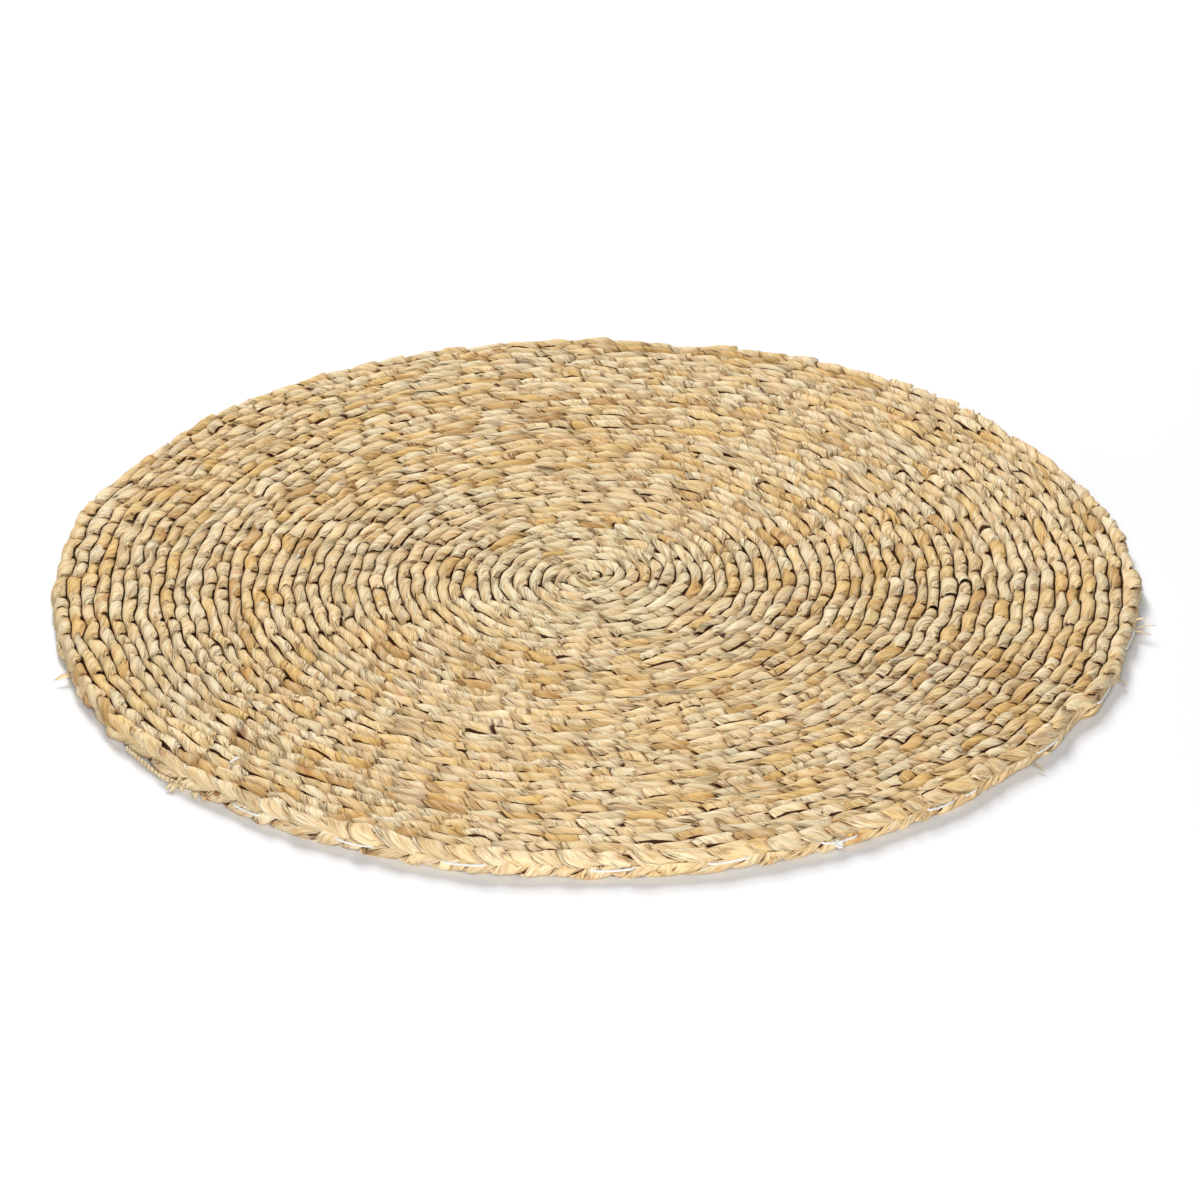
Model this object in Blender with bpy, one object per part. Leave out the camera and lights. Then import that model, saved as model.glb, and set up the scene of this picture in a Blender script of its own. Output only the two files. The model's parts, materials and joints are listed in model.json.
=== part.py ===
"""Round table mat, coiled from one flat plait of three dried-leaf strands that stands on its edge.

The plait starts in the middle and runs outwards, counter-clockwise seen from above. Its end narrows
and is tucked under one last turn, the rim turn, which goes all the way round. Each bump of a strand
on the top, and on the rim's outer face, is a low four-sided peak between four hollows. The turns are
sewn to each other, so the mat is one solid. It lies on z = 0, and the origin is under its middle.
"""
from bisect import bisect_left
from math import cos, exp, pi, radians, sin

import bmesh
import bpy
from mathutils import Vector

MM = 0.001
FULL = 2 * pi

# Driving dimensions
OUTER_RADIUS = 190 * MM
TURNS = 41                      # across a radius, the rim turn among them
PLAIT_HEIGHT = 9 * MM           # the plait stands on its edge, so its width is the mat's thickness
LOBE_PITCH = 12 * MM            # along the plait, from one strand's bump to the next

# The plait's relief
GROOVE_DEPTH = 1.9 * MM         # from the top of a bump down to the hollows between bumps
LOBE_LEAN = 5 * MM              # how far a bump runs along the plait while it crosses it
RIM_TOP = 7.4 * MM              # height of the hollows along the rim's upper edge
RIM_UPPER = 6.2 * MM            # height of the upper bumps' peaks on the rim
RIM_MIDDLE = 4.4 * MM           # height of the hollows where upper and lower bumps meet
RIM_LOWER = 2.4 * MM            # height of the lower bumps' peaks on the rim
RIM_HOLLOW = 0.9 * MM           # how far the rim's hollows lie inside its peaks
RIM_FOOT = 1.3 * MM             # the same at the underside's edge

# The coil's start, folded back on itself in the middle, and its end, tucked under the rim turn
START_TURN = 0.4                # the blunt start, in turns from the coil's centre
FOLD_LENGTH = 7 * MM            # the middle is this much longer than it is wide
FOLD_ANGLE = radians(28)
FOLD_REACH = 40 * MM            # distance over which the turns grow round again
COIL_SHIFT = (-3.2 * MM, -0.8 * MM)   # the coil's centre lies off the outline's
END_ANGLE = radians(166)
TUCK_TURNS = 16 / 360           # the end narrows to nothing over this part of a turn
ROUNDING_POWER = 6              # how soon the outer turns take up the outline
FEWEST_LOBES = 9                # in the innermost turns

# The outline's unevenness: degrees counter-clockwise from +X, and millimetres out from its radius
OUTLINE = (
    (0, 1.4), (30, -1.0), (55, 0.6), (80, -2.0), (105, 0.4), (130, 1.4), (148, -0.8),
    (163, 1.6), (182, -0.3), (220, -0.7), (260, 0.4), (300, 0.3), (320, -1.7), (345, 0.7),
)
OUTLINE_MIDDLE = (0.777 * MM, -0.681 * MM)   # the middle of the outline's box, which the origin is under

STRAW = (0.78, 0.64, 0.40, 1.0)

SPIRAL_TURNS = TURNS - 1
TURN_PITCH = OUTER_RADIUS / (TURNS - 0.5)
HOLLOW_HEIGHT = PLAIT_HEIGHT - GROOVE_DEPTH


def smooth_step(x):
    x = min(max(x, 0.0), 1.0)
    return x * x * (3 - 2 * x)


def outline_radius(angle):
    """The rim's radius at an angle, eased from one row of OUTLINE to the next."""
    degrees = angle * 360 / FULL % 360
    for (start, before), (end, after) in zip(OUTLINE, OUTLINE[1:] + ((360, OUTLINE[0][1]),)):
        if start <= degrees <= end:
            share = smooth_step((degrees - start) / (end - start))
            return OUTER_RADIUS + (before + (after - before) * share) * MM
    raise ValueError("OUTLINE starts at 0 degrees")


def coil_edge(turn):
    """The spiral's outer edge, in turn widths from the centre, a number of turns along it."""
    tucked = smooth_step((turn - (SPIRAL_TURNS - TUCK_TURNS)) / TUCK_TURNS)
    return turn - tucked


def last_lap(angle):
    """How far along the spiral its last lap passes an angle, in turns."""
    return SPIRAL_TURNS - 1 + (angle - END_ANGLE) / FULL % 1


def turn_angle(turn):
    return END_ANGLE + turn * FULL


def place(widths, angle, height, inset=0.0):
    """A point that lies a number of turn widths out from the coil's centre."""
    rim_widths = coil_edge(last_lap(angle)) + 1
    share = widths / rim_widths
    radius = widths * TURN_PITCH - inset
    radius += (outline_radius(angle) - rim_widths * TURN_PITCH) * share ** ROUNDING_POWER
    stretch = FOLD_LENGTH / 2 * exp(-radius / FOLD_REACH) * cos(angle - FOLD_ANGLE)
    settled = 1 - share ** 2
    x = radius * cos(angle) + stretch * cos(FOLD_ANGLE) + COIL_SHIFT[0] * settled
    y = radius * sin(angle) + stretch * sin(FOLD_ANGLE) + COIL_SHIFT[1] * settled
    return Vector((x - OUTLINE_MIDDLE[0], y - OUTLINE_MIDDLE[1], height))


def lobe_turns():
    """Where each bump of the spiral starts, in turns along it, evenly spaced by length."""
    turns = [START_TURN]
    while turns[-1] < SPIRAL_TURNS:
        length_of_turn = FULL * TURN_PITCH * turns[-1]
        turns.append(turns[-1] + min(LOBE_PITCH / length_of_turn, 1 / FEWEST_LOBES))
    overshoot = turns[-1] - SPIRAL_TURNS
    return [turn - overshoot * (turn - START_TURN) / (turns[-1] - START_TURN) for turn in turns]


def lean_turns(turn):
    """LOBE_LEAN as a part of a turn, less in the innermost turns."""
    return min(LOBE_LEAN / (FULL * TURN_PITCH * turn), 0.4 / FEWEST_LOBES)


def nearest(turns, wanted):
    """The index of the hollow nearest to a place along the spiral, or -1, the centre, before its start."""
    if wanted < turns[0]:
        return -1
    after = min(bisect_left(turns, wanted), len(turns) - 1)
    before = max(after - 1, 0)
    return before if wanted - turns[before] < turns[after] - wanted else after


def peak(mesh, point, ring):
    """A bump: one peak, joined to each side of the ring of hollows round it."""
    top = mesh.verts.new(point)
    for first, second in zip(ring, ring[1:] + ring[:1]):
        if first is not second:
            mesh.faces.new((top, first, second))


def add_spiral(mesh):
    """The spiral's bumps. Returns its last lap's outer hollows, from the tucked end round to itself."""
    turns = lobe_turns()
    hollows = [
        mesh.verts.new(place(coil_edge(turn), turn_angle(turn), HOLLOW_HEIGHT))
        for turn in turns[:-1]
    ]
    centre = mesh.verts.new(place(0, 0, HOLLOW_HEIGHT))
    inner = [nearest(turns, turn - 1 - lean_turns(turn)) for turn in turns]
    tip = inner[-1]
    outer = hollows + [hollows[tip]]
    for index, (start, end) in enumerate(zip(turns, turns[1:])):
        inside = [centre if at < 0 else hollows[at] for at in range(inner[index], inner[index + 1] + 1)]
        middle = (start + end) / 2
        lean = lean_turns(middle) / 2
        width = coil_edge(middle) - (middle - 1)
        point = place(coil_edge(middle) - width / 2, turn_angle(middle - lean), PLAIT_HEIGHT)
        peak(mesh, point, [outer[index], outer[index + 1]] + inside[::-1])
    return hollows[tip:], turns[tip:-1]


def add_rim_turn(mesh, inner_hollows, inner_turns):
    """The rim turn's bumps on top. Returns the hollows of the rim's upper edge and their angles."""
    count = round(FULL * OUTER_RADIUS / LOBE_PITCH)
    angles = [END_ANGLE + FULL * index / count for index in range(count)]
    edge = [
        mesh.verts.new(place(coil_edge(last_lap(angle)) + 1, angle, RIM_TOP, RIM_HOLLOW))
        for angle in angles
    ]
    lap = len(inner_hollows)
    lean = lean_turns(SPIRAL_TURNS)
    inner = [nearest(inner_turns, SPIRAL_TURNS - 1 + index / count - lean) for index in range(count)]
    inner = [max(at, 0) for at in inner] + [lap]
    for index in range(count):
        inside = [inner_hollows[at % lap] for at in range(inner[index], inner[index + 1] + 1)]
        middle = angles[index] + FULL / count / 2 - lean * FULL / 2
        point = place(coil_edge(last_lap(middle)) + 0.5, middle, PLAIT_HEIGHT)
        peak(mesh, point, [edge[index], edge[(index + 1) % count]] + inside[::-1])
    return edge, angles


def add_rim_face(mesh, top, angles):
    """The rim's outer face, where the strands' bumps meet in arrows along the middle. Returns its foot."""
    count = len(top)
    step = FULL / count
    lean = LOBE_LEAN / OUTER_RADIUS

    def rim_point(angle, height, inset):
        return place(coil_edge(last_lap(angle)) + 1, angle, height, inset)

    middle = [mesh.verts.new(rim_point(angle + lean, RIM_MIDDLE, RIM_HOLLOW)) for angle in angles]
    foot = [mesh.verts.new(rim_point(angle, 0, RIM_FOOT)) for angle in angles]
    for index, angle in enumerate(angles):
        after = (index + 1) % count
        at = angle + step / 2 + lean / 2
        upper = [middle[index], middle[after], top[after], top[index]]
        lower = [foot[index], foot[after], middle[after], middle[index]]
        peak(mesh, rim_point(at, RIM_UPPER, 0), upper)
        peak(mesh, rim_point(at, RIM_LOWER, 0), lower)
    return foot


def make_straw():
    material = bpy.data.materials.new("dried leaf")
    material.use_nodes = True
    shader = material.node_tree.nodes["Principled BSDF"]
    shader.inputs["Base Color"].default_value = STRAW
    shader.inputs["Roughness"].default_value = 0.7
    shader.inputs["Metallic"].default_value = 0.0
    return material


def make_mat(collection):
    mesh = bmesh.new()
    inner_hollows, inner_turns = add_spiral(mesh)
    top, angles = add_rim_turn(mesh, inner_hollows, inner_turns)
    foot = add_rim_face(mesh, top, angles)
    mesh.faces.new(foot[::-1])
    data = bpy.data.meshes.new("coiled_plait")
    mesh.to_mesh(data)
    mesh.free()
    data.materials.append(make_straw())
    mat = bpy.data.objects.new("coiled_plait", data)
    collection.objects.link(mat)
    return mat


def main():
    for old in list(bpy.data.objects):
        bpy.data.objects.remove(old, do_unlink=True)
    collection = bpy.data.collections.new("plaited_placemat")
    bpy.context.scene.collection.children.link(collection)
    make_mat(collection)


main()
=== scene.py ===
"""The looks of a round placemat: a plait of three dried-leaf strands, coiled on its edge and sewn
with white thread."""

import json
import math

import bpy
import numpy as np
from mathutils import Matrix, Vector
from mathutils.bvhtree import BVHTree

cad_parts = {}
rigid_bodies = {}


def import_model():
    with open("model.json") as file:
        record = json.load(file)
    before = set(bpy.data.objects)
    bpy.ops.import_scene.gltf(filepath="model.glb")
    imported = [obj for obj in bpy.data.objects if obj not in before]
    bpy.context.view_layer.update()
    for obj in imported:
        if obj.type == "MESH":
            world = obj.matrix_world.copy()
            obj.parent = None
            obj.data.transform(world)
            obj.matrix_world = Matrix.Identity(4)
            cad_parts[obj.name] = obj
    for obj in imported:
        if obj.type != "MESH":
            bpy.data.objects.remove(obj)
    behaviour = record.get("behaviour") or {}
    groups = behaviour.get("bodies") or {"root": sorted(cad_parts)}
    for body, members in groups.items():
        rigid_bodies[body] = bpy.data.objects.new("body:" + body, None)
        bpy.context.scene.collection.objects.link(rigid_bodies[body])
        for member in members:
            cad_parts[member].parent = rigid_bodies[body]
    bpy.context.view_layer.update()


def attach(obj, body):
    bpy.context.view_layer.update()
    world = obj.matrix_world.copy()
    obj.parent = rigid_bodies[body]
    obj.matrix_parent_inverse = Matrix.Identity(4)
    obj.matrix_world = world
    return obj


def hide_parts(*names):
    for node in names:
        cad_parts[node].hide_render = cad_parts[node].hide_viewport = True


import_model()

MM = 0.001
FULL = 2 * math.pi
NODE = "coiled_plait"

# The coil, as the part has it
OUTER_RADIUS = 190 * MM
TURNS = 41                      # across a radius, the rim turn among them
SPIRAL_TURNS = TURNS - 1
TURN_PITCH = OUTER_RADIUS / (TURNS - 0.5)
PLAIT_HEIGHT = 9 * MM
FOLD_LENGTH = 7 * MM
FOLD_ANGLE = math.radians(28)
FOLD_REACH = 40 * MM
COIL_SHIFT = (-3.2 * MM, -0.8 * MM)
END_ANGLE = math.radians(166)
TUCK_TURNS = 16 / 360
ROUNDING_POWER = 6
OUTLINE = np.array((            # degrees counter-clockwise from +X, and millimetres out
    (0, 1.4), (30, -1.0), (55, 0.6), (80, -2.0), (105, 0.4), (130, 1.4), (148, -0.8),
    (163, 1.6), (182, -0.3), (220, -0.7), (260, 0.4), (300, 0.3), (320, -1.7), (345, 0.7), (360, 1.4),
))
OUTLINE_MIDDLE = (0.777 * MM, -0.681 * MM)

# The plait's section: x outwards across the turn, z up from the plait's middle
STRANDS = 3
BUMP_LENGTH = 11.5 * MM         # along the plait, from one strand's bump on the top to the next strand's
BUMP_SPREAD = 0.30              # how unlike each other's the bumps' lengths are
BUMP_WANDER = 1.4               # the number of bumps over which their length changes
BUMP_LIMITS = (0.6, 1.7)        # the shortest and the longest bump, as parts of BUMP_LENGTH
HALF_WIDTH = 0.495 * TURN_PITCH  # a little under a half
HALF_HEIGHT = PLAIT_HEIGHT / 2
CAP = 2.5 * MM                  # height of the plait's rounded edges
QUARTER_WRAP = 3.2 * MM         # round the skin, from the middle of the top to the start of a face
HALF_LOOP = 6.4 * MM            # round the skin, from the middle of the top to the crossing in the core
LOOP = 4 * HALF_LOOP
CROSS_FAST = 0.28               # how much faster than on average a strand goes round on the top
RIM_CROSS_FAST = 0.10           # the same on the rim turn
STEEPEN = 0.74                  # on the top the strands cross by this much more steeply
RIM_CROSSING = 0.3 * MM         # height of the crossings on the rim's face, from the plait's middle
INTERLOCK = 0.35                # how far a strand's leading edge reaches past a crossing
RIM_INTERLOCK = 0.9
DIVE = 0.3                      # the part of a face's way down at which a strand starts to slip under
RIM_DIVE = 0.5
LEAD_DIVE = 0.80                # the same for its leading edge
HOOK_FROM = 0.85                # and for its bend to the crossing in the core
CORE_SINK = 0.3                 # how much of its sinking a strand keeps in the core
CORNERS = 0.13                  # how much narrower the plait is where two bumps meet
CORNER_REACH = 3.0 * MM         # the length of half a bump's straight sides, and of each of its corners
GATHER = 0.10                   # how much a strand narrows at the corners where it slips under
RIM_GATHER = 0.08
GATHER_FROM = 0.6 * MM          # how far from the top's middle it starts to, and over what way
GATHER_OVER = 2.6 * MM
FIELD_STEP = 8.0 * MM           # the turns press each other aside in patches of this size
FIELD_SIDEWAYS = 1.25 * MM
FIELD_HEIGHT = 0.45 * MM
LIFT_FROM = 0.4                 # points below this part of half the plait's height aren't lifted

# A strand's own section on the plait's outer side: from its trailing edge, which lies further along
# the plait and slips under the next strand, over its back to its leading edge, which lies on the last
# strand, and then the point underneath. Millimetres along the plait, and millimetres under the
# plait's skin. On the inner side the section is the same, end for end.
OUTER_SECTION = np.array((
    (7.2, 2.5), (7.7, 2.0), (6.6, 1.25), (5.4, 0.75), (3.9, 0.30), (2.0, 0.02), (0.0, -0.15), (-2.0, -0.26),
    (-4.0, -0.32), (-5.7, -0.32), (-6.5, -0.22), (-6.3, 0.5), (-0.5, 2.5),
)) * MM
SIDES = len(OUTER_SECTION)
SWITCH = 1.1 * MM               # how far from the plait's middle a strand's section may change over
SWITCH_LENGTH = 1.0 * MM
STEP_STRENGTHS = (0.25, 1.10, 2.10)   # of the steps between bumps: least, usual and most
STEP_WANDER = 0.50              # how much the steps' strength varies
RIM_STEPS = 1.3                 # how much stronger they are on the rim turn
FULL_STRENGTH_TO = 0.9 * MM     # points that lie less deep are at the steps' strength
NO_STRENGTH_BELOW = 2.3 * MM    # and deeper ones aren't
PLEAT = 0.13 * MM               # the usual depth of the pleats along a strand
SHARP_PLEAT = 0.30 * MM         # and how much deeper the strongest of them are
STRONG = 0.9
SIDE_SINK = 0.30                # how much of its sinking moves a strand away from the turn's side
INNER_SECTION = OUTER_SECTION.copy()
INNER_SECTION[:-1] = OUTER_SECTION[-2::-1] * (-1, 1)
RINGS = (                       # of each period, in parts of it from the middle of the top
    -0.25, -0.17, -0.11, -0.075, -0.045, -0.015, 0.015, 0.045, 0.075, 0.11, 0.17,
    0.25, 0.38, 0.46, 0.54, 0.62,
)
RIM_RINGS = (
    -0.25, -0.15, -0.10, -0.06, -0.03, 0.0, 0.025, 0.05, 0.075, 0.10, 0.125, 0.15, 0.175, 0.20, 0.225,
    0.25, 0.36, 0.43, 0.48, 0.52, 0.56, 0.59, 0.62, 0.65, 0.68, 0.715,
)

# What varies along each strand: the length that one draw lasts, how much it varies, and the draw's number
TRAVEL = (20 * MM, 0.10, 5)
SINKING = (13 * MM, 0.20 * MM, 2)
GATHERING = (16 * MM, 0.3, 6)
WIDENING = (11 * MM, 0.06, 3)
RISING = (10 * MM, 0.20 * MM, 4)
PLEATING = (9 * MM, 1.0, 10)
# What all strands have alike: the length that one draw lasts, and its seed
SWITCHING = (11 * MM, 31)
STEPPING = (9 * MM, 32)

LEAF_CHANGE = 0.30              # the chance that a bump of a strand shows a new leaf
PALE_LEAVES = 26                # the first leaves of each strand, in the middle of the mat, are mostly pale
PALE_CHANCE = 0.85
PALE_TONE = 0.995
FIBRE_SLANTS = (0.0, 0.9)       # the fibres run more along the plait than the strand does
RIM_SLANT = 0.4                 # on the rim turn they do by this part of that
FIBRE_FANS = (-0.06, 0.06)      # and they spread like a fan, per millimetre
BACK_MIDDLE = 5.8               # millimetres from the first point of a strand's section to its back's middle
BACK_WIDTH = 0.75               # a strand's width, as a part of its section's length along the plait
RIM_EDGE = 0.6                  # how near to the back's middle the rim's edges seem, to have fewer creases
HIDDEN_SHADE = 2.0              # millimetres added to a strand's depth where it has slipped under, which darkens its painted shade
SLIPPED = 0.5                   # the part of a face's way down from which it has
RIM_SLIPPED = 0.8
SEAM = 2.0                      # across the fibres, from the last point underneath to the trailing edge
SHARP_ANGLE = math.radians(38)  # edges that turn by more than this are sharp
START_TURN = 0.42               # where the strands' ends are, in turns from the coil's centre
TUCKED_IN = 6 * MM              # how far before the spiral's end the strands stop, under the rim turn
END_HEIGHT = 0.6                # the plait's height where it narrows to nothing, as a part of its full one
OUTER_PART = 0.72               # each spiral strand is two pieces, cut at this part of its turns

# Seeds of the random draws, where there are two for the spiral and for the rim turn
BUMP_SEEDS = (3, 4)
SHAPE_SEEDS = (100, 1000)       # of the first strand, and 100 more for each other
LEAF_SEEDS = (500, 520)         # of the first strand, and 1 more for each other
FIELD_SEEDS = (21, 22, 23)      # of the patches: along X, along Y and up
STITCH_SEED = 61
LOOSE_SEED = 83


def smooth(x):
    x = np.clip(x, 0, 1)
    return x * x * (3 - 2 * x)


def outline_radius(angle):
    degrees = np.degrees(angle) % 360
    row = np.clip(np.searchsorted(OUTLINE[:, 0], degrees, side="right") - 1, 0, len(OUTLINE) - 2)
    share = smooth((degrees - OUTLINE[row, 0]) / (OUTLINE[row + 1, 0] - OUTLINE[row, 0]))
    swell = OUTLINE[row, 1] + (OUTLINE[row + 1, 1] - OUTLINE[row, 1]) * share
    return OUTER_RADIUS + swell * MM


def coil_edge(turn):
    """The spiral's outer edge, in turn widths from the centre, a number of turns along it."""
    return turn - smooth((turn - (SPIRAL_TURNS - TUCK_TURNS)) / TUCK_TURNS)


def last_lap(angle):
    return SPIRAL_TURNS - 1 + (angle - END_ANGLE) / FULL % 1


def turn_angle(turn):
    return END_ANGLE + turn * FULL


def place(widths, angle, height):
    """Points that lie a number of turn widths out from the coil's centre."""
    rim_widths = coil_edge(last_lap(angle)) + 1
    share = np.maximum(widths / rim_widths, 0)
    radius = widths * TURN_PITCH
    radius = radius + (outline_radius(angle) - rim_widths * TURN_PITCH) * share ** ROUNDING_POWER
    stretch = FOLD_LENGTH / 2 * np.exp(-np.maximum(radius, 0) / FOLD_REACH) * np.cos(angle - FOLD_ANGLE)
    settled = 1 - share ** 2
    x = radius * np.cos(angle) + stretch * math.cos(FOLD_ANGLE) + COIL_SHIFT[0] * settled
    y = radius * np.sin(angle) + stretch * math.sin(FOLD_ANGLE) + COIL_SHIFT[1] * settled
    return np.stack([x - OUTLINE_MIDDLE[0], y - OUTLINE_MIDDLE[1], np.broadcast_to(height, x.shape)], -1)


def wander(along, step, seed, closed_length=None):
    """Smooth random values of spread 1 along a length, one draw every step."""
    low_end = along.min()
    count = int(math.ceil((along.max() - low_end) / step)) + 3
    values = np.random.default_rng(seed).normal(0, 1, count)
    at = (along - low_end) / step
    if closed_length is not None:
        laps = max(round(closed_length / step), 1)
        at = (along / closed_length * laps) % laps
        values = values[np.arange(laps + 1) % laps]
    low = np.floor(at).astype(int)
    share = smooth(at - low)
    return values[low] * (1 - share) + values[low + 1] * share


def patches(points, seed):
    """Smooth random values of about -1 to 1 over the mat's plan, in patches of FIELD_STEP."""
    size = int(0.5 / FIELD_STEP)
    values = np.random.default_rng(seed).uniform(-1, 1, (size + 1, size + 1))
    at = points[..., :2] / FIELD_STEP + size / 2
    low = np.floor(at).astype(int)
    share = smooth(at - low)
    column, row, along, across = low[..., 0], low[..., 1], share[..., 0], share[..., 1]
    near = values[column, row] * (1 - along) + values[column + 1, row] * along
    far = values[column, row + 1] * (1 - along) + values[column + 1, row + 1] * along
    return near * (1 - across) + far * across


def pressed(points):
    """The points as they lie once neighbouring turns have pressed each other aside."""
    height = points[..., 2:]
    along_x, along_y, up = (patches(points, seed) for seed in FIELD_SEEDS)
    shift = np.stack([along_x, along_y], -1) * FIELD_SIDEWAYS
    lift = up[..., None] * FIELD_HEIGHT * np.clip(height / HALF_HEIGHT - LIFT_FROM, 0, 1)
    return np.concatenate([points[..., :2] + shift, np.maximum(height + lift, 0)], -1)


def shared_wander(along, step, seed, closed_length=None):
    """Smooth random values of spread 1 that all strands have alike at the same place along the plait."""
    laps = 4000 if closed_length is None else round(closed_length / step)
    step = step if closed_length is None else closed_length / laps
    values = np.random.default_rng(seed).normal(0, 1, laps)
    low = np.floor(along / step).astype(int)
    share = smooth(along / step - low)
    return values[low % laps] * (1 - share) + values[(low + 1) % laps] * share


def loop_position(phase, fast):
    """How far round its figure of eight a strand is, from the middle of the top; phase counts its
    periods, and is whole there."""
    return LOOP * (phase + fast * np.sin(2 * FULL * phase) / (2 * FULL))


def on_loop(at, sink, lead, crossing, interlock, dive, side_sink):
    """Points on a strand's figure of eight, in the section plane: at is the way round it from the
    middle of the top, sink the depth under the skin, and lead runs from 0 at the strand's trailing
    edge, which slips under early, to 1 at its leading edge, which stays on the face for longest.
    Returns their x and z, and how far down a face they are, from 0 to 1."""
    half = np.floor((at + HALF_LOOP) / (2 * HALF_LOOP))
    across = at - 2 * HALF_LOOP * half
    up = np.where(half % 2 == 0, 1.0, -1.0)
    bend = np.clip(across / QUARTER_WRAP, -1, 1) * math.pi / 2
    out_x, out_z = np.sin(bend), np.cos(bend)
    straight = HALF_HEIGHT - CAP
    down = np.clip((np.abs(across) - QUARTER_WRAP) / (HALF_LOOP - QUARTER_WRAP), 0, 1)
    hook = smooth((down - HOOK_FROM) / (1 - HOOK_FROM))
    meeting = crossing * up
    z_face = straight + (meeting - straight) * down * (1 + interlock * lead)
    z_face = z_face + (meeting - z_face) * hook
    z = np.where(down > 0, z_face, straight + CAP * np.clip(out_z, 0, 1))
    dive_from = dive + (LEAD_DIVE - dive) * lead
    stay = 1 - smooth((down - dive_from) / (1 - dive_from))
    x = HALF_WIDTH * out_x * stay
    sink = sink * (CORE_SINK + (1 - CORE_SINK) * stay)
    side_sink = np.where(x > 0, side_sink, SIDE_SINK)
    return x - out_x * sink * stay * side_sink, up * (z - np.sqrt(np.abs(out_z)) * sink), down


def bump_places(count, seed, closed_length=None):
    """Where along the plait its bumps are, as a function of their number, which need not be whole."""
    numbers = np.linspace(-3, count + 3, 20 * (count + 6) + 1)
    if closed_length is None:
        lengths = 1 + BUMP_SPREAD * wander(numbers, BUMP_WANDER, seed)
    else:
        lengths = 1 + BUMP_SPREAD * wander(numbers % count, BUMP_WANDER, seed, count)
    steps = np.clip(lengths, *BUMP_LIMITS)[1:] * np.diff(numbers) * BUMP_LENGTH
    places = np.concatenate([[0], np.cumsum(steps)])
    places -= np.interp(0, numbers, places)
    if closed_length is not None:
        places *= closed_length / np.interp(count, numbers, places)
    return lambda number: np.interp(number, numbers, places)


def strand_grid(phase, number, bump_place, seed, on_rim, closed_length=None):
    """A strand as rings across it, each at one place round the figure of eight. phase is of the rings'
    middles. Returns the middles' places along the plait, and each point's own place along it, its x and
    z there, and its depth under the skin in millimetres."""
    fast = RIM_CROSS_FAST if on_rim else CROSS_FAST
    crossing, interlock, dive = (RIM_CROSSING, RIM_INTERLOCK, RIM_DIVE) if on_rim else (0.0, INTERLOCK, DIVE)
    bump = STRANDS * phase + number
    along = bump_place(bump)
    around = along if closed_length is None else along % closed_length

    def vary(step, amount, draw_number):
        return amount * wander(around, step, seed + draw_number, closed_length)[:, None]

    at = loop_position(phase[:, None], fast + vary(*TRAVEL))
    lead = np.append(np.linspace(0, 1, SIDES - 1), 0.5)
    across = at - 2 * HALF_LOOP * np.floor((at + HALF_LOOP) / (2 * HALF_LOOP))
    where = bump_place(bump[:, None] + OUTER_SECTION[:, 0] / BUMP_LENGTH)
    switch = SWITCH * shared_wander(where, *SWITCHING, closed_length)
    inner = smooth(0.5 - (across - switch) / (2 * SWITCH_LENGTH))[..., None]
    offset, sink = np.moveaxis(OUTER_SECTION * (1 - inner) + INNER_SECTION * inner, -1, 0)
    deep = sink / MM
    low, usual, high = STEP_STRENGTHS
    strength = np.clip(usual + STEP_WANDER * shared_wander(where, *STEPPING, closed_length), low, high)
    strength = strength * (RIM_STEPS if on_rim else 1)
    hidden = smooth((sink - FULL_STRENGTH_TO) / (NO_STRENGTH_BELOW - FULL_STRENGTH_TO))
    sink = sink * (strength * (1 - hidden) + hidden) + vary(*SINKING)
    step, amount, first_draw = PLEATING
    for point in range(1, SIDES - 2):
        pleat = vary(step, amount, first_draw + point)[:, 0]
        sink[:, point] += PLEAT * pleat + SHARP_PLEAT * np.clip(pleat - STRONG, 0, 2)
    side_sink = 1.0 if on_rim else SIDE_SINK
    x, z, down = on_loop(at + 0 * sink, sink, lead + 0 * sink, crossing, interlock, dive, side_sink)
    corner = np.clip((np.abs(offset) - CORNER_REACH) / CORNER_REACH, 0, 1.2)
    x = x * (1 - CORNERS * corner)
    near_side = smooth((np.abs(across) - GATHER_FROM) / GATHER_OVER)
    gathered = (RIM_GATHER if on_rim else GATHER) * (1 + vary(*GATHERING)) * near_side
    offset = offset * np.where(offset * across > 0, 1 - gathered, 1)
    x = x * (1 + vary(*WIDENING))
    z = z + vary(*RISING)
    slip_from = RIM_SLIPPED if on_rim else SLIPPED
    deep = deep + HIDDEN_SHADE * smooth((down - slip_from) / (1 - slip_from))
    own_bump = bump[:, None] + offset / BUMP_LENGTH
    stretch = (bump_place(own_bump + 0.5) - bump_place(own_bump - 0.5)) / BUMP_LENGTH
    place_along = bump_place(own_bump) - STEEPEN * stretch * x * z / HALF_HEIGHT
    return along, place_along, x, z, deep


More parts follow.
